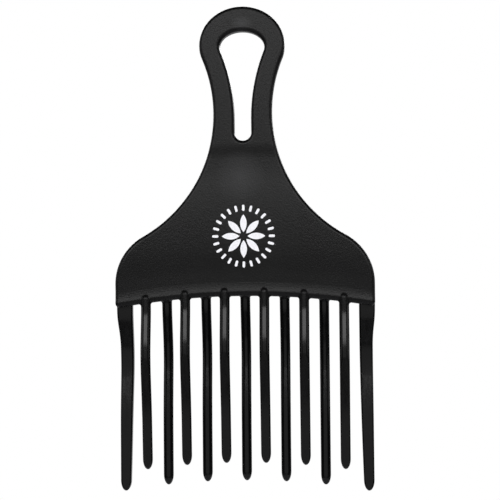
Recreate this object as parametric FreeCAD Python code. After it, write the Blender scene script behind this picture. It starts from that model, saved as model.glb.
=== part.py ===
import FreeCAD, Part
import math
import os

from FreeCAD import Vector

# An afro pick: a moulded comb with a loop handle, a fan-shaped head and two staggered rows of teeth.
# Sizes are in millimetres. X runs to the right, Z up the handle, and the front looks towards -Y.
# The origin is the point that hangs on a peg: the top of the handle's slot, at mid thickness.

# Handle loop and its slot, seen from the front
LOOP_TOP_BAND = 8.7
LOOP_HALF_WIDTH = 15.05
LOOP_CROWN_RISE = 13.5
SLOT_HALF_WIDTH = 7.85
SLOT_CROWN_RISE = 5.5
SLOT_FLANK_RADIUS = 62.0
SLOT_FOOT_RADIUS = 2.95
SLOT_STRAIGHT = 4.9

# Waist and shoulders, seen from the front
WAIST_HALF_WIDTH = 10.3
WAIST_RADIUS = 49.3
SHOULDER_RADIUS = 19.3
SIDE_LENGTH = 8.3

# Thicknesses from the handle down to the tooth rail
HANDLE_THICKNESS = 5.2
DIP_THICKNESS = 4.7
CROWN_THICKNESS = 6.7
VALLEY_THICKNESS = 5.9
RAIL_THICKNESS = 6.6
STEP_BELOW_SLOT = 0.8
STEP_LENGTH = 5.2
STEEPEST_BELOW_DIP = 8.4
CROWN_ABOVE_EDGE = 18.5
RAIL_FLARE_RADIUS = 14.0
RAIL_LIP_RADIUS = 1.75
BODY_EDGE_RADIUS = 1.4

# Teeth: two rows, half a pitch apart, that follow one arch
FRONT_COUNT = 6
TOOTH_PITCH = 13.9
TOOTH_DIAMETER = 3.5
ARCH_RADIUS = 265.0
FRONT_TOOTH_LENGTH = 58.4
REAR_TOOTH_LENGTH = 65.1
TOOTH_TIP_LENGTH = 3.7
CREST_HEIGHT = 3.3
CREST_PROUD = 0.6
ROOT_FILLET_RADIUS = 0.8
COLLAR_DROP = 1.2
SPIGOT_STEP = 0.4
ROOT_STRAIGHT = 3.3
ROOT_BEND_RADIUS = 20.0
ROW_BOW = 3.2
BEND_DROP = 19.0
BEND_RADIUS = 36.0
EASE_BOW = 0.25
EASE_BELOW_BEND = 19.5
EASE_RADIUS = 120.0
TIP_INSET = 0.75
FACET_SHAVE = 0.6

# Guard teeth at the two ends of the rear row
GUARD_GAP = 3.5
GUARD_ROOT_WIDTH = 5.6
GUARD_TIP_WIDTH = 3.7
GUARD_INSET = 0.85
GUARD_INSET_LENGTH = 14.0
GUARD_THICKNESS = 3.2
GUARD_EDGE_RADIUS = 0.8

# Printed mark: a rosette of petals inside a circle of ticks
MARK_ABOVE_EDGE = 21.0
MARK_RADIUS = 11.0
TICK_COUNT = 24
TICK_LENGTH = 2.2
TICK_WIDTH = 0.9
PETAL_COUNT = 8
PETAL_INNER_RADIUS = 1.4
PETAL_OUTER_RADIUS = 7.6
PETAL_HALF_WIDTH = 1.15
INK_THICKNESS = 0.05

# Sizes that follow from the ones above
rear_count = FRONT_COUNT - 1
tooth_radius = TOOTH_DIAMETER / 2
outer_front_x = (FRONT_COUNT - 1) / 2 * TOOTH_PITCH
head_half_width = outer_front_x + tooth_radius + GUARD_GAP + GUARD_ROOT_WIDTH
root_offset = RAIL_THICKNESS / 2 + CREST_PROUD - tooth_radius

# How far a cutting shape runs past what it cuts, and how deep it is from front to back
comb_depth = max(RAIL_THICKNESS, HANDLE_THICKNESS, CROWN_THICKNESS) + 2 * (CREST_PROUD + ROW_BOW)
overrun = comb_depth
full_depth = comb_depth + 2 * overrun


def at(x, z):
    """A point on the middle plane of the comb."""
    return Vector(x, 0, z)


def mirrored(point):
    """The same point on the other side of the comb's middle."""
    return Vector(-point.x, point.y, point.z)


def line(start, end):
    """A straight edge."""
    return Part.LineSegment(start, end).toShape()


def arc_about(centre, start, end):
    """The shorter arc about a centre from one point to another."""
    middle = (start - centre) + (end - centre)
    middle.normalize()
    return Part.Arc(start, centre + middle * (start - centre).Length, end).toShape()


def arc_along_z(start, end):
    """An arc that leaves a point along Z and ends in another, or a line where they are in line."""
    across = Vector(end.x - start.x, end.y - start.y, 0)
    hair = 1e-6
    if across.Length < hair:
        return line(start, end)
    radius = (end - start).Length ** 2 / (2 * across.Length)
    return arc_about(start + across * (radius / across.Length), start, end)


def ogee(start, end, turn_share=0.5):
    """Two arcs that leave one point along Z, meet at a share of the way and reach another along Z."""
    turn = start + (end - start) * turn_share
    return [arc_along_z(start, turn), arc_along_z(end, turn)]


def ellipse(centre, end_a, end_b):
    """An ellipse about a centre through the ends of its two half axes, the longer of which leads."""
    if (end_a - centre).Length >= (end_b - centre).Length:
        return Part.Ellipse(end_a, end_b, centre)
    return Part.Ellipse(end_b, centre * 2 - end_a, centre)


def ellipse_crown(semi_x, semi_z, centre_z, start):
    """The top of an ellipse, from a point on its right over the crown to the same point on its left."""
    curve = ellipse(at(0, centre_z), at(semi_x, centre_z), at(0, centre_z + semi_z))
    return Part.Arc(curve, curve.parameter(start), curve.parameter(mirrored(start))).toShape()


def ellipse_quarter(centre, start, end):
    """A quarter of an ellipse between the ends of its two half axes."""
    curve = ellipse(centre, start, end)
    return Part.Arc(curve, curve.parameter(start), curve.parameter(end)).toShape()


def touch_ellipse(semi_x, semi_z, centre_z, radius, nearest_x):
    """Where a circle touches the lower right of an ellipse from outside.

    The circle comes as near to the Z axis as nearest_x. Returns the touching point and its centre.
    """
    halvings = 60
    low, high = -math.pi / 2, 0.0
    for _ in range(halvings):
        angle = (low + high) / 2
        touch = at(semi_x * math.cos(angle), centre_z + semi_z * math.sin(angle))
        outward = at(math.cos(angle) / semi_x, math.sin(angle) / semi_z)
        outward.normalize()
        centre = touch + outward * radius
        if centre.x < nearest_x + radius:
            low = angle
        else:
            high = angle
    return touch, centre


def face_within(edges):
    """The flat face inside a closed outline."""
    return Part.Face(Part.Wire(Part.__sortEdges__(edges)))


def solid_between(edges, depth):
    """A closed outline on the middle plane, made as deep as depth about that plane."""
    face = face_within(edges)
    face.translate(Vector(0, -depth / 2, 0))
    return face.extrude(Vector(0, depth, 0))


def middle_of(edge):
    """The point halfway along an edge."""
    return edge.valueAt((edge.FirstParameter + edge.LastParameter) / 2)


def sharp_edges(shape):
    """The edges where two faces meet at a plain angle."""
    least_angle = math.radians(20)
    found = []
    for edge in shape.Edges:
        faces = shape.ancestorsOfType(edge, Part.Face)
        if len(faces) < 2:
            continue
        point = middle_of(edge)
        normals = []
        for face in faces[:2]:
            u, v = face.Surface.parameter(point)
            normals.append(face.normalAt(u, v))
        if normals[0].getAngle(normals[1]) > least_angle:
            found.append(edge)
    return found


# Heights on the front outline, from the hang point down
loop_centre_z = LOOP_TOP_BAND - LOOP_CROWN_RISE
loop_touch, waist_centre = touch_ellipse(
    LOOP_HALF_WIDTH, LOOP_CROWN_RISE, loop_centre_z, WAIST_RADIUS, WAIST_HALF_WIDTH)
shoulder_x = head_half_width - SHOULDER_RADIUS
shoulder_drop = math.sqrt((WAIST_RADIUS + SHOULDER_RADIUS) ** 2 - (waist_centre.x - shoulder_x) ** 2)
shoulder_centre = at(shoulder_x, waist_centre.z - shoulder_drop)
slot_touch, flank_centre = touch_ellipse(
    SLOT_HALF_WIDTH, SLOT_CROWN_RISE, -SLOT_CROWN_RISE, SLOT_FLANK_RADIUS, SLOT_FOOT_RADIUS)
slot_foot_z = flank_centre.z - SLOT_STRAIGHT - SLOT_FOOT_RADIUS
dip_z = slot_foot_z - STEP_BELOW_SLOT - STEP_LENGTH

# The arch of the lower edge: its corner and its axis
corner_z = shoulder_centre.z - SIDE_LENGTH
arch_axis_z = corner_z - math.sqrt(ARCH_RADIUS ** 2 - head_half_width ** 2)


def edge_z(x):
    """Height of the arched lower edge at any distance from the middle."""
    return arch_axis_z + math.sqrt(ARCH_RADIUS ** 2 - x ** 2)


# The crown of the head, and the centres of the rail's lip and flare, which touch, in the side profile
crown_z = edge_z(0) + CROWN_ABOVE_EDGE
lip_y = RAIL_THICKNESS / 2 - RAIL_LIP_RADIUS
lip_z = edge_z(0) + RAIL_LIP_RADIUS
flare_y = VALLEY_THICKNESS / 2 + RAIL_FLARE_RADIUS
flare_rise = math.sqrt((RAIL_FLARE_RADIUS + RAIL_LIP_RADIUS) ** 2 - (flare_y - lip_y) ** 2)
valley_z = lip_z + flare_rise


def front_outline():
    """The handle and head seen from the front, drawn past the arch, which the profile gives."""
    waist = at(WAIST_HALF_WIDTH, waist_centre.z)
    to_shoulder = shoulder_centre - waist_centre
    to_shoulder.normalize()
    shoulder_touch = waist_centre + to_shoulder * WAIST_RADIUS
    side_top = at(head_half_width, shoulder_centre.z)
    side_foot = at(head_half_width, corner_z - overrun)
    edges = [ellipse_crown(LOOP_HALF_WIDTH, LOOP_CROWN_RISE, loop_centre_z, loop_touch)]
    edges.append(line(side_foot, mirrored(side_foot)))
    for place in (Vector, mirrored):
        edges.append(Part.Arc(place(loop_touch), place(waist), place(shoulder_touch)).toShape())
        edges.append(arc_about(place(shoulder_centre), place(shoulder_touch), place(side_top)))
        edges.append(line(place(side_top), place(side_foot)))
    return solid_between(edges, full_depth)


def slot():
    """The teardrop slot of the handle, right through it."""
    flank_foot = at(SLOT_FOOT_RADIUS, flank_centre.z)
    foot_side = at(SLOT_FOOT_RADIUS, slot_foot_z + SLOT_FOOT_RADIUS)
    edges = [ellipse_crown(SLOT_HALF_WIDTH, SLOT_CROWN_RISE, -SLOT_CROWN_RISE, slot_touch)]
    edges.append(Part.Arc(foot_side, at(0, slot_foot_z), mirrored(foot_side)).toShape())
    for place in (Vector, mirrored):
        edges.append(arc_about(place(flank_centre), place(slot_touch), place(flank_foot)))
        edges.append(line(place(flank_foot), place(foot_side)))
    return solid_between(edges, full_depth)


def swept_profile():
    """The comb's thickness from its top to its lower edge, swept about the arch's axis."""

    def place(half, z, side):
        return Vector(0, side * half, z)

    top_z = LOOP_TOP_BAND + overrun
    touch_share = RAIL_LIP_RADIUS / (RAIL_LIP_RADIUS + RAIL_FLARE_RADIUS)
    touch_y = lip_y + (flare_y - lip_y) * touch_share
    touch_z = lip_z + flare_rise * touch_share
    edges = [line(place(HANDLE_THICKNESS / 2, top_z, -1), place(HANDLE_THICKNESS / 2, top_z, 1))]
    edges.append(line(place(lip_y, edge_z(0), -1), place(lip_y, edge_z(0), 1)))
    for side in (-1, 1):
        step = place(HANDLE_THICKNESS / 2, dip_z + STEP_LENGTH, side)
        dip = place(DIP_THICKNESS / 2, dip_z, side)
        crown = place(CROWN_THICKNESS / 2, crown_z, side)
        valley = place(VALLEY_THICKNESS / 2, valley_z, side)
        touch = place(touch_y, touch_z, side)
        lip_out = place(RAIL_THICKNESS / 2, lip_z, side)
        lip_foot = place(lip_y, edge_z(0), side)
        edges.append(line(place(HANDLE_THICKNESS / 2, top_z, side), step))
        edges += ogee(step, dip) + ogee(dip, crown, STEEPEST_BELOW_DIP / (dip_z - crown_z))
        edges += ogee(crown, valley)
        edges.append(arc_about(place(flare_y, valley_z, side), valley, touch))
        edges.append(arc_about(place(lip_y, lip_z, side), touch, lip_out))
        edges.append(arc_about(place(lip_y, lip_z, side), lip_out, lip_foot))
    face = face_within(edges)
    reach = math.degrees(math.asin((head_half_width + overrun) / ARCH_RADIUS))
    face.rotate(at(0, arch_axis_z), Vector(0, 1, 0), -reach)
    return face.revolve(at(0, arch_axis_z), Vector(0, 1, 0), 2 * reach)


def comb_body():
    """Handle, head and rail in one, with rounded edges, before it is divided."""
    body = swept_profile().common(front_outline()).cut(slot()).Solids[0]
    return body.makeFillet(BODY_EDGE_RADIUS, sharp_edges(body))


def inside_arch(radius):
    """Everything within a distance of the arch's axis."""
    return Part.makeCylinder(radius, full_depth, Vector(0, -full_depth / 2, arch_axis_z), Vector(0, 1, 0))


def above(z):
    """Everything of the comb above a height."""
    width = 2 * (head_half_width + overrun)
    height = LOOP_TOP_BAND + overrun - z
    return Part.makeBox(width, full_depth, height, Vector(-width / 2, -full_depth / 2, z))


def heading(start, end):
    """The direction from one point to another."""
    way = end - start
    way.normalize()
    return way


def backwards(way):
    """The direction towards the back of the comb, square to a way down it."""
    return Vector(0, -way.z, way.y)


def rounded_route(corners, radii):
    """A route from corner to corner, with its inner corners rounded.

    Returns its stretches in order: start, end, the way at both, and the centre of an arc or None.
    """
    stretches = []
    start = corners[0]
    for before, corner, after, radius in zip(corners, corners[1:], corners[2:], radii):
        arrive = heading(before, corner)
        leave = heading(corner, after)
        half_turn = arrive.getAngle(leave) / 2
        cut_back = radius * math.tan(half_turn)
        arc_start = corner - arrive * cut_back
        arc_end = corner + leave * cut_back
        centre = corner + heading(arrive, leave) * (radius / math.cos(half_turn))
        stretches.append((start, arc_start, arrive, arrive, None))
        stretches.append((arc_start, arc_end, arrive, leave, centre))
        start = arc_end
    last = heading(start, corners[-1])
    stretches.append((start, corners[-1], last, last, None))
    return stretches


def route_edges(stretches, aside=0.0):
    """The edges of a route, or of the line beside it, so far aside towards the back."""
    edges = []
    for start, end, leave, arrive, centre in stretches:
        first = start + backwards(leave) * aside
        last = end + backwards(arrive) * aside
        if centre is None:
            edges.append(line(first, last))
        else:
            edges.append(arc_about(centre, first, last))
    return edges


def tooth_route(x, length):
    """Axis of a rear tooth: straight down from its collar, outwards to a bend, then back in to its tip."""
    edge = edge_z(x)
    corners = [
        Vector(x, root_offset, edge - COLLAR_DROP),
        Vector(x, root_offset, edge - ROOT_STRAIGHT),
        Vector(x, root_offset + ROW_BOW, edge - BEND_DROP),
        Vector(x, root_offset + EASE_BOW, edge - BEND_DROP - EASE_BELOW_BEND),
        Vector(x, root_offset - TIP_INSET, edge - length),
    ]
    return rounded_route(corners, [ROOT_BEND_RADIUS, BEND_RADIUS, EASE_RADIUS])


def lengthened(stretches, above, below):
    """A route with its two ends run on, or cut back where a length is negative."""
    top, top_end, down, _, _ = stretches[0]
    foot_start, foot, last, _, _ = stretches[-1]
    first_stretch = (top - down * above, top_end, down, down, None)
    last_stretch = (foot_start, foot + last * below, last, last, None)
    return [first_stretch] + stretches[1:-1] + [last_stretch]


def round_end(base, direction, quarter):
    """A round end: a quarter curve, from the nose to the rim of the base disc, turned about its axis."""
    nose = quarter.valueAt(quarter.FirstParameter)
    rim = quarter.valueAt(quarter.LastParameter)
    face = face_within([line(base, nose), quarter, line(rim, base)])
    return face.revolve(base, direction, 360)


def collar(x, side):
    """The root of a round tooth on the rail, a short post with a ball for its crest.

    side is -1 for the front row and 1 for the rear row.
    """
    foot = Vector(x, side * root_offset, edge_z(x) - COLLAR_DROP)
    ball = Vector(x, side * root_offset, edge_z(x) + CREST_HEIGHT - tooth_radius)
    rim = Vector(tooth_radius, 0, 0)
    nose = ball + Vector(0, 0, tooth_radius)
    side_view = [
        line(nose, foot),
        line(foot, foot + rim),
        line(foot + rim, ball + rim),
        arc_about(ball, ball + rim, nose),
    ]
    return face_within(side_view).revolve(foot, Vector(0, 0, 1), 360)


def spigot(x, side):
    """The slimmer top of a round tooth, inside its collar."""
    height = COLLAR_DROP + CREST_HEIGHT - tooth_radius
    foot = Vector(x, side * root_offset, edge_z(x) - COLLAR_DROP)
    return Part.makeCylinder(tooth_radius - SPIGOT_STEP, height, foot)


def slim_tip(base, direction):
    """The slim end of a tooth: half a long egg."""
    rim = base + Vector(tooth_radius, 0, 0)
    nose = base + direction * TOOTH_TIP_LENGTH
    return round_end(base, direction, ellipse_quarter(base, nose, rim))


def facet(stretches):
    """What the facet down a tooth's outer face takes off: all that lies behind a line beside its axis."""
    bend = 3
    below_bend = lengthened(stretches[bend + 1:], BEND_DROP, overrun)
    edges = route_edges(below_bend, tooth_radius - FACET_SHAVE)
    top = edges[0].valueAt(edges[0].FirstParameter)
    foot = edges[-1].valueAt(edges[-1].LastParameter)
    out = Vector(0, overrun, 0)
    edges += [line(top, top + out), line(top + out, foot + out), line(foot + out, foot)]
    face = face_within(edges)
    face.translate(Vector(-TOOTH_DIAMETER, 0, 0))
    return face.extrude(Vector(2 * TOOTH_DIAMETER, 0, 0))


def round_tooth(length):
    """A round tooth of the rear row with a spigot, a slim tip and a flat facet down its outer face."""
    stretches = lengthened(tooth_route(0, length), 0, -TOOTH_TIP_LENGTH)
    top, _, down, _, _ = stretches[0]
    _, shank_end, _, last, _ = stretches[-1]
    ring = Part.Wire(Part.makeCircle(tooth_radius, top, down))
    shank = Part.Wire(route_edges(stretches)).makePipeShell([ring], True, False)
    tooth = shank.fuse([spigot(0, 1), slim_tip(shank_end, last)]).removeSplitter()
    return tooth.cut(facet(stretches)).Solids[0]


def guard_side(x):
    """The bowed side view of a guard tooth, wider than the tooth."""
    stretches = lengthened(tooth_route(x, REAR_TOOTH_LENGTH), overrun, overrun)
    front = route_edges(stretches, -GUARD_THICKNESS / 2)
    back = route_edges(stretches, GUARD_THICKNESS / 2)
    top = [edges[0].valueAt(edges[0].FirstParameter) for edges in (front, back)]
    foot = [edges[-1].valueAt(edges[-1].LastParameter) for edges in (front, back)]
    face = face_within(front + back + [line(*top), line(*foot)])
    width = 2 * (GUARD_ROOT_WIDTH + overrun)
    face.translate(Vector(-width / 2, 0, 0))
    return face.extrude(Vector(width, 0, 0))


def guard_tooth():
    """The wide flat tooth at the right end of the rear row, flush with the side of the head."""
    middle_x = head_half_width - GUARD_ROOT_WIDTH / 2
    top_z = edge_z(middle_x) + CREST_HEIGHT
    tip_z = edge_z(middle_x) - REAR_TOOTH_LENGTH
    outer_x = head_half_width - GUARD_INSET
    tip_base = at(outer_x - GUARD_TIP_WIDTH / 2, tip_z + TOOTH_TIP_LENGTH)
    tip = at(tip_base.x, tip_z)
    inner_top = at(head_half_width - GUARD_ROOT_WIDTH, top_z)
    inner_foot = at(outer_x - GUARD_TIP_WIDTH, tip_base.z)
    outer_top = at(head_half_width, top_z)
    inset_top = at(head_half_width, corner_z)
    inset_foot = at(outer_x, corner_z - GUARD_INSET_LENGTH)
    outer_foot = at(outer_x, tip_base.z)
    edges = [
        line(inner_top, outer_top),
        line(outer_top, inset_top),
        line(inset_foot, outer_foot),
        ellipse_quarter(tip_base, tip, outer_foot),
        ellipse_quarter(tip_base, inner_foot, tip),
        arc_along_z(inner_top, inner_foot),
    ]
    edges += ogee(inset_top, inset_foot)
    blade = solid_between(edges, full_depth).common(guard_side(middle_x)).Solids[0]
    return blade.makeFillet(GUARD_EDGE_RADIUS, sharp_edges(blade))


def row_places(count):
    """Where the round teeth of a row stand, from the left."""
    return [(number - (count - 1) / 2) * TOOTH_PITCH for number in range(count)]


def teeth():
    """Every tooth by its name, numbered from the left."""
    named = {}
    front = round_tooth(FRONT_TOOTH_LENGTH).rotated(Vector(0, 0, 0), Vector(0, 0, 1), 180)
    rear = round_tooth(REAR_TOOTH_LENGTH)
    for row, tooth, count in (("front", front, FRONT_COUNT), ("rear", rear, rear_count)):
        for number, x in enumerate(row_places(count)):
            place = Vector(x, 0, edge_z(x) - edge_z(0))
            named[f"{row}_tooth_{number + 1}"] = tooth.translated(place)
    right = guard_tooth()
    named["guard_tooth_right"] = right
    named["guard_tooth_left"] = right.mirror(Vector(0, 0, 0), Vector(1, 0, 0))
    return named


def with_collars(rail):
    """The rail with a filleted collar for every round tooth, and with a socket for its spigot."""
    roots = [(x, -1) for x in row_places(FRONT_COUNT)] + [(x, 1) for x in row_places(rear_count)]
    collars = [collar(x, side) for x, side in roots]
    joined = rail.fuse(collars)
    seam = rail.section(Part.makeCompound(collars))
    hair = 1e-4
    creases = []
    for edge in joined.Edges:
        if seam.distToShape(Part.Vertex(middle_of(edge)))[0] < hair:
            creases.append(edge)
    filleted = joined.makeFillet(ROOT_FILLET_RADIUS, creases)
    return filleted.cut([spigot(x, side) for x, side in roots])


def tick(middle, angle):
    """One round-ended tick of the mark, on a spoke of its circle."""
    spoke = at(math.cos(angle), math.sin(angle))
    across = at(-spoke.z, spoke.x) * (TICK_WIDTH / 2)
    outer = middle + spoke * (MARK_RADIUS - TICK_WIDTH / 2)
    inner = middle + spoke * (MARK_RADIUS - TICK_LENGTH + TICK_WIDTH / 2)
    return [
        line(inner + across, outer + across),
        Part.Arc(outer + across, outer + spoke * (TICK_WIDTH / 2), outer - across).toShape(),
        line(outer - across, inner - across),
        Part.Arc(inner - across, inner - spoke * (TICK_WIDTH / 2), inner + across).toShape(),
    ]


def petal(middle, angle):
    """One petal of the mark: two arcs between two points on a spoke."""
    spoke = at(math.cos(angle), math.sin(angle))
    across = at(-spoke.z, spoke.x) * PETAL_HALF_WIDTH
    inner = middle + spoke * PETAL_INNER_RADIUS
    outer = middle + spoke * PETAL_OUTER_RADIUS
    belly = (inner + outer) * 0.5
    return [
        Part.Arc(inner, belly + across, outer).toShape(),
        Part.Arc(outer, belly - across, inner).toShape(),
    ]


def printed_mark():
    """A film of ink that lies on the front of the head and follows its curve."""
    surface = swept_profile()
    raised = surface.translated(Vector(0, -INK_THICKNESS, 0))
    middle = at(0, edge_z(0) + MARK_ABOVE_EDGE)
    motifs = [tick(middle, 2 * math.pi * n / TICK_COUNT) for n in range(TICK_COUNT)]
    motifs += [petal(middle, 2 * math.pi * n / PETAL_COUNT) for n in range(PETAL_COUNT)]
    films = []
    for edges in motifs:
        stamp = face_within(edges).extrude(Vector(0, -full_depth, 0))
        films += stamp.common(raised).cut(surface).Solids
    return Part.makeCompound(films)


def comb_nodes():
    """Every piece by its name: the moulding divided where its forms change, with its teeth in the rail."""
    body = comb_body()
    handle_side = above(dip_z)
    rail_side = inside_arch(valley_z - arch_axis_z)
    nodes = teeth()
    guards = [nodes["guard_tooth_left"], nodes["guard_tooth_right"]]
    nodes["handle_loop"] = body.common(handle_side)
    nodes["head_plate"] = body.cut(handle_side).cut(rail_side)
    nodes["tooth_rail"] = with_collars(body.common(rail_side).cut(guards))
    nodes["printed_mark"] = printed_mark()
    return nodes


def main():
    """Write every piece as its own file."""
    os.makedirs("parts", exist_ok=True)
    for name, shape in comb_nodes().items():
        solids = shape.Solids
        node = solids[0] if len(solids) == 1 else Part.makeCompound(solids)
        node.exportStep(f"parts/{name}.step")
        print(f"{name}: {len(solids)} solid, valid {node.isValid()}, {node.Volume:.1f} mm3")


main()
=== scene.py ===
# %% [markdown]
# # A moulded hair pick in black plastic
# The real pick is one injection moulding: a loop handle, a fan-shaped head, and two rows of long teeth
# that bow apart. A white mark is printed on the head. The exact solids come from the imported frame, in
# metres, with the front towards -Y and the handle up +Z, so nothing has to be fitted here.

# %% Load the frame
import math

import bpy
from mathutils import Matrix, Vector

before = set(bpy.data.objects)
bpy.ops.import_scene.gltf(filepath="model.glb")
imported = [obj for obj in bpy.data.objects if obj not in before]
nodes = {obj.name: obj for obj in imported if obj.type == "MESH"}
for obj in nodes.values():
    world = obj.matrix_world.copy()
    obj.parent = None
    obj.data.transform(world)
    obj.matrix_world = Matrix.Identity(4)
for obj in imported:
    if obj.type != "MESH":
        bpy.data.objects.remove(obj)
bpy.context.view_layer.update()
MM = 0.001

# %% [markdown]
# ## Helpers for material nodes
# A finish is a small graph of nodes. Adding a node, setting it and wiring it takes a line each time, and a
# finish needs a dozen of them. One helper adds a node with its settings and its input values, a second
# joins two nodes by their sockets, and a third starts a material.

# %% Node helpers


def add_node(tree, kind, inputs=None, **settings):
    """A node with its settings and with the values of its inputs."""
    node = tree.nodes.new(kind)
    for name, value in settings.items():
        setattr(node, name, value)
    for name, value in (inputs or {}).items():
        node.inputs[name].default_value = value
    return node


def wire(tree, start, output, end, put):
    """Joins an output of one node to an input of another."""
    tree.links.new(start.outputs[output], end.inputs[put])


def new_material(name):
    """A material, its node tree and its shader."""
    material = bpy.data.materials.new(name)
    material.use_nodes = True
    return material, material.node_tree, material.node_tree.nodes["Principled BSDF"]


print("nodes can be added and wired")

# %% [markdown]
# ## Helpers for patterns
# All finishes here vary by clouds, Blender's noise texture. The clouds drive a colour ramp for the tone, a
# range for the roughness, and a bump for fine relief. They read Object coordinates, so the pattern stays on
# the plastic when the pick moves. Most of the noise lies between 0.3 and 0.7, so that part is stretched.

# %% Pattern helpers
CLOUDS_FROM = 0.3
CLOUDS_TO = 0.7
BLUE_CAST = 1.04


def noise(tree, place, scale, detail=2.0, output="Object"):
    """Clouds of a given fineness, in cells for each metre."""
    clouds = add_node(tree, "ShaderNodeTexNoise", {"Scale": scale, "Detail": detail})
    wire(tree, place, output, clouds, "Vector")
    return clouds


def two_tones(tree, clouds, dark, light):
    """A colour that runs between two greys, very slightly blue."""
    ramp = add_node(tree, "ShaderNodeValToRGB")
    stops = ((CLOUDS_FROM, dark), (CLOUDS_TO, light))
    for stop, (position, grey) in zip(ramp.color_ramp.elements, stops):
        stop.position = position
        stop.color = (grey, grey, grey * BLUE_CAST, 1)
    wire(tree, clouds, "Fac", ramp, "Fac")
    return ramp


def spread(tree, clouds, low, high):
    """A number that runs between two limits."""
    cut = {"From Min": CLOUDS_FROM, "From Max": CLOUDS_TO, "To Min": low, "To Max": high}
    limits = add_node(tree, "ShaderNodeMapRange", cut)
    wire(tree, clouds, "Fac", limits, "Value")
    return limits


def grain(tree, clouds, height, strength, shader):
    """Raises clouds into fine relief."""
    relief = add_node(tree, "ShaderNodeBump", {"Strength": strength, "Distance": height})
    wire(tree, clouds, "Fac", relief, "Height")
    wire(tree, relief, "Normal", shader, "Normal")


print("patterns are ready")

# %% [markdown]
# ## Soft spots
# Two places of the pick are paler than the rest. The head is faintly hollow under the thumb, too little for
# the solids, so the light that the hollow catches is painted into the colour there as a pale, slightly
# duller spot: a painted highlight. A pale mark on the front of the loop is where the plastic was let into
# the mould. Vertex colours could mark such places, but a round gradient, moved and stretched by a Mapping
# node, needs only a middle and a reach.

# %% Soft spots
# The thumb spot is a painted highlight: it pales the colour where the hollow in the head catches the light.
THUMB_HIGHLIGHT_MIDDLE = (-1.0 * MM, 0.0, -51.0 * MM)
THUMB_HIGHLIGHT_REACH = (9.0 * MM, 60.0 * MM, 10.0 * MM)
GATE_MIDDLE = (0.2 * MM, -2.6 * MM, 2.8 * MM)
GATE_REACH = (4.2 * MM, 2.5 * MM, 2.6 * MM)


def spot(tree, place, middle, reach):
    """A soft spot: 1 at its middle, 0 at its reach along X, Y and Z."""
    scale = [1 / side for side in reach]
    shift = [-along * size for along, size in zip(middle, scale)]
    fit = add_node(tree, "ShaderNodeMapping", {"Location": shift, "Scale": scale})
    soft = add_node(tree, "ShaderNodeTexGradient", gradient_type="SPHERICAL")
    wire(tree, place, "Object", fit, "Vector")
    wire(tree, fit, "Vector", soft, "Vector")
    return soft


def weighed_sum(tree, first, weight, second, output):
    """One pattern times a weight, plus another."""
    total = add_node(tree, "ShaderNodeMath", {1: weight}, operation="MULTIPLY_ADD")
    wire(tree, first, "Fac", total, 0)
    wire(tree, second, output, total, 2)
    return total


print("thumb and gate spots are placed")

# %% [markdown]
# ## Satin plastic for the handle and head
# The mould of the handle and head was blasted, so the plastic is satin: a broad, soft sheen with a fine
# grain. Black plastic has almost no colour of its own. What the eye reads is the sheen, so roughness does
# most of the work. Slow clouds vary it, as flow in the mould does, and fine clouds raised into relief give
# the grain. A painted texture could do the same, but clouds need no image. The sheen is set below the 0.5
# of plain plastic, because the black of this pick is deeper.

# %% Satin plastic
PLASTIC_IOR = 1.46
SATIN_SHEEN = 0.17
# This grey serves both the real gate mark and the painted highlight under the thumb.
SMUDGE_AND_HIGHLIGHT_GREY = (0.022, 0.022, 0.023, 1)
THUMB_HIGHLIGHT_PALENESS = 0.9
THUMB_HIGHLIGHT_DULLNESS = 0.06
MIX_FACTOR, MIX_A, MIX_B, MIX_COLOUR = 0, 6, 7, 2


def black_plastic(name, sheen):
    """The start of a black plastic, with its place on the pick."""
    material, tree, shader = new_material(name)
    shader.inputs["IOR"].default_value = PLASTIC_IOR
    shader.inputs["Specular IOR Level"].default_value = sheen
    return material, tree, shader, add_node(tree, "ShaderNodeTexCoord")


def satin_plastic():
    """Black plastic from a blasted mould, with a painted highlight where the head is hollow and a pale gate
    mark.
    """
    material, tree, shader, place = black_plastic("satin_plastic", SATIN_SHEEN)
    flow = noise(tree, place, 60.0, 4.0)
    thumb_highlight = spot(tree, place, THUMB_HIGHLIGHT_MIDDLE, THUMB_HIGHLIGHT_REACH)
    gate = spot(tree, place, GATE_MIDDLE, GATE_REACH)
    # The base colour is paled towards that grey by the thumb spot, a painted highlight for the light on the
    # hollow, and by the gate spot, a real mark.
    smudge_and_highlight = add_node(tree, "ShaderNodeMix", data_type="RGBA")
    smudge_and_highlight.inputs[MIX_B].default_value = SMUDGE_AND_HIGHLIGHT_GREY
    wire(tree, weighed_sum(tree, thumb_highlight, THUMB_HIGHLIGHT_PALENESS, gate, "Fac"), 0, smudge_and_highlight, MIX_FACTOR)
    wire(tree, two_tones(tree, flow, 0.0016, 0.0024), "Color", smudge_and_highlight, MIX_A)
    wire(tree, smudge_and_highlight, MIX_COLOUR, shader, "Base Color")
    rough = spread(tree, flow, 0.32, 0.37)
    wire(tree, weighed_sum(tree, thumb_highlight, THUMB_HIGHLIGHT_DULLNESS, rough, "Result"), 0, shader, "Roughness")
    grain(tree, noise(tree, place, 2000.0), 0.13 * MM, 0.6, shader)
    return material


satin = satin_plastic()
print("made", satin.name)

# %% [markdown]
# ## Slick plastic for the teeth
# Teeth have to slide through hair, so their half of the mould is polished. The same black then mirrors the
# light more sharply: the upper stretches, which lean towards the lamp, turn bright, and those that lean away
# stay black. Drawn-out clouds along each tooth stand for the marks that polishing leaves.

# %% Slick plastic
SLICK_SHEEN = 0.24
DRAWN_OUT = (1.0, 1.0, 0.12)


def dress(tree, shader, clouds, tones, roughness):
    """Lets clouds vary the tone and the roughness of a shader."""
    wire(tree, two_tones(tree, clouds, *tones), "Color", shader, "Base Color")
    wire(tree, spread(tree, clouds, *roughness), "Result", shader, "Roughness")


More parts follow.
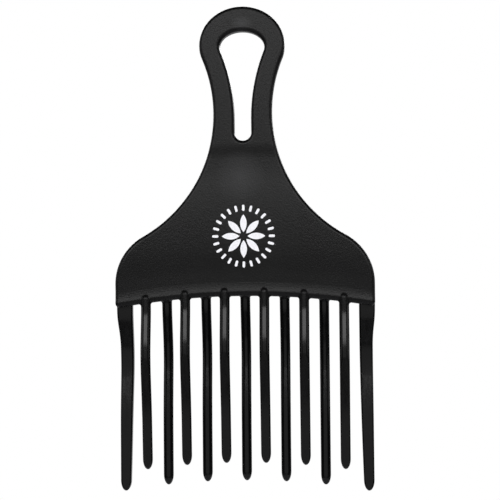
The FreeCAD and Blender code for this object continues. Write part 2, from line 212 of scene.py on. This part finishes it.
def slick_plastic():
    """Black plastic from a polished mould."""
    material, tree, shader, place = black_plastic("slick_plastic", SLICK_SHEEN)
    along = add_node(tree, "ShaderNodeMapping", {"Scale": DRAWN_OUT})
    wire(tree, place, "Object", along, "Vector")
    marks = noise(tree, along, 900.0, 3.0, "Vector")
    dress(tree, shader, marks, (0.0012, 0.0018), (0.16, 0.22))
    grain(tree, marks, 0.01 * MM, 0.25, shader)
    return material


slick = slick_plastic()
print("made", slick.name)

# %% [markdown]
# ## White ink for the printed mark
# The mark is pad printed, which lays down a thin film that is matt and a little uneven. Here the film has
# its own solid, so it only needs a finish: near white, rough, with faint thin spots where the plastic below
# greys it.

# %% White ink


def white_ink():
    """Matt printed ink with faint thin spots."""
    material, tree, shader = new_material("white_ink")
    film = noise(tree, add_node(tree, "ShaderNodeTexCoord"), 1500.0, 3.0)
    dress(tree, shader, film, (0.74, 0.86), (0.55, 0.7))
    grain(tree, film, 0.01 * MM, 0.2, shader)
    return material


ink = white_ink()
print("made", ink.name)

# %% [markdown]
# ## Dress the solids
# The solids already have the right shapes, so nothing is modelled over them. Each keeps its mesh and swaps
# its plain grey for one of the three finishes.

# %% Dress the solids


def finish_for(name):
    """The finish that a piece of the pick has."""
    if name == "printed_mark":
        return ink
    if name.startswith(("front_tooth", "rear_tooth", "guard_tooth")):
        return slick
    return satin


for name, node in nodes.items():
    node.data.materials.clear()
    node.data.materials.append(finish_for(name))
    print(name, "gets", finish_for(name).name)

# %% [markdown]
# ## Camera
# The photograph looks almost straight at the front, from the right by a few degrees, with the pick turned a
# little in the picture. One pixel is 0.35 mm at the pick, which fixes the lens once the distance is chosen.
# The distance shows in how much larger the front row of teeth looks than the rear row.

# %% Camera
AIM = Vector((2.0, 0.0, -76.7)) * MM
DISTANCE = 460 * MM
PIXEL = 0.3516 * MM
IMAGE_SIDE = 500
YAW = math.radians(3.6)
ROLL = math.radians(0.65)
lens = bpy.data.cameras.new("photo_camera")
lens.lens = lens.sensor_width * DISTANCE / (IMAGE_SIDE * PIXEL)
lens.clip_start = 10 * MM
camera = bpy.data.objects.new("photo_camera", lens)
bpy.context.scene.collection.objects.link(camera)
bpy.context.scene.camera = camera
towards_camera = Vector((math.sin(YAW), -math.cos(YAW), 0))
stand = Matrix.Translation(AIM + towards_camera * DISTANCE)
facing = (-towards_camera).to_track_quat("-Z", "Y").to_matrix().to_4x4()
camera.matrix_world = stand @ facing @ Matrix.Rotation(-ROLL, 4, "Z")
print("lens in mm:", round(lens.lens, 1))

# %% [markdown]
# ## Floor
# The pick hangs in front of white, and the floor lies below the picture's lower edge. A disc is enough. It
# is pale and matt, with faint clouds so that it isn't one flat colour. The lamps face the pick and only
# graze the floor, so the camera's own rays see a share of white on it, as they do on the ground behind.

# %% Floor
FLOOR_DROP = 340 * MM
FLOOR_RADIUS = 430 * MM
FLOOR_WHITE = 0.6
WHITE = (1, 1, 1, 1)


def pale_floor():
    """Pale and matt, with a share of white for the camera's own rays."""
    material, tree, shader = new_material("pale_floor")
    clouds = noise(tree, add_node(tree, "ShaderNodeTexCoord"), 3.0)
    wire(tree, two_tones(tree, clouds, 0.74, 0.78), "Color", shader, "Base Color")
    shader.inputs["Roughness"].default_value = 0.9
    shine = add_node(tree, "ShaderNodeEmission", {"Color": WHITE, "Strength": 1.0})
    share = add_node(tree, "ShaderNodeMath", {1: FLOOR_WHITE}, operation="MULTIPLY")
    cover = add_node(tree, "ShaderNodeMixShader")
    wire(tree, add_node(tree, "ShaderNodeLightPath"), "Is Camera Ray", share, 0)
    wire(tree, share, 0, cover, 0)
    wire(tree, shader, "BSDF", cover, 1)
    wire(tree, shine, "Emission", cover, 2)
    wire(tree, cover, 0, tree.nodes["Material Output"], "Surface")
    return material


bpy.ops.object.select_all(action="DESELECT")
bpy.ops.mesh.primitive_circle_add(
    vertices=96, radius=FLOOR_RADIUS, fill_type="NGON", location=(0, 0, -FLOOR_DROP))
floor = bpy.context.object
floor.name = "floor"
floor.data.materials.append(pale_floor())
print("floor at", -FLOOR_DROP, "m")

# %% [markdown]
# ## Light
# Black plastic shows its lamps more than its colour. One wide softbox above and in front of the pick gives
# the sheen: the tops of the front teeth lean back far enough to mirror its middle, and the flat faces catch
# its lower edge. A dim card, lower and just as wide, keeps the faces that lean down from going quite black.
# The same pair stands behind for the back, and two small dim cards stand at the sides.

# %% Softboxes
LAMP_DISTANCE = 900 * MM


def softbox(name, round_by, elevation, width, height, power):
    """A lamp that stands so far round from the front and above the horizon, turned towards the pick."""
    data = bpy.data.lights.new(name, "AREA")
    data.shape = "RECTANGLE"
    data.size = width
    data.size_y = height
    data.energy = power
    lamp = bpy.data.objects.new(name, data)
    bpy.context.scene.collection.objects.link(lamp)
    turn = math.radians(round_by)
    rise = math.radians(elevation)
    away = Vector((math.sin(turn) * math.cos(rise), -math.cos(turn) * math.cos(rise), math.sin(rise)))
    lamp.location = AIM + away * LAMP_DISTANCE
    lamp.rotation_euler = (-away).to_track_quat("-Z", "Y").to_euler()
    lamp.visible_camera = False
    print(name, "of", power, "W")


for side, round_by in (("front", 0), ("back", 180)):
    softbox(side + "_key", round_by, elevation=22, width=1.6, height=0.32, power=9.8)
    softbox(side + "_low_card", round_by, elevation=-8, width=1.6, height=0.5, power=1.7)
for side, round_by in (("left", -90), ("right", 90)):
    softbox(side + "_card", round_by, elevation=10, width=0.6, height=0.5, power=1.2)

# %% [markdown]
# ## World
# A photograph for a catalogue has a white ground. Rays that come straight from the camera, or through
# something clear, see white at a strength of 1, so the ground is white without any light from it on the
# plastic. Rays that the plastic mirrors see only a small share of it, because the edges of the pick are dark
# on the white ground. All other rays get a dim even fill.

# %% World
FILL = 0.06
MIRRORED_SHARE = 0.02
world = bpy.data.worlds.new("studio")
bpy.context.scene.world = world
world.use_nodes = True
sky = world.node_tree
fill = sky.nodes["Background"]
fill.inputs["Color"].default_value = (FILL, FILL, FILL, 1)
white = add_node(sky, "ShaderNodeBackground", {"Color": WHITE})
path = add_node(sky, "ShaderNodeLightPath")
mirrored = add_node(sky, "ShaderNodeMath", {1: MIRRORED_SHARE}, operation="MULTIPLY_ADD")
seen = add_node(sky, "ShaderNodeMath", operation="ADD", use_clamp=True)
mix = add_node(sky, "ShaderNodeMixShader")
wire(sky, path, "Is Glossy Ray", mirrored, 0)
wire(sky, path, "Is Transmission Ray", mirrored, 2)
wire(sky, path, "Is Camera Ray", seen, 0)
wire(sky, mirrored, 0, seen, 1)
wire(sky, seen, 0, mix, 0)
wire(sky, fill, 0, mix, 1)
wire(sky, white, 0, mix, 2)
wire(sky, mix, 0, sky.nodes["World Output"], "Surface")
print("white ground, fill of", FILL)

# %% [markdown]
# ## Finish
# Standard shows colours as they are written.

# %% Finish
bpy.context.scene.view_settings.view_transform = "Standard"
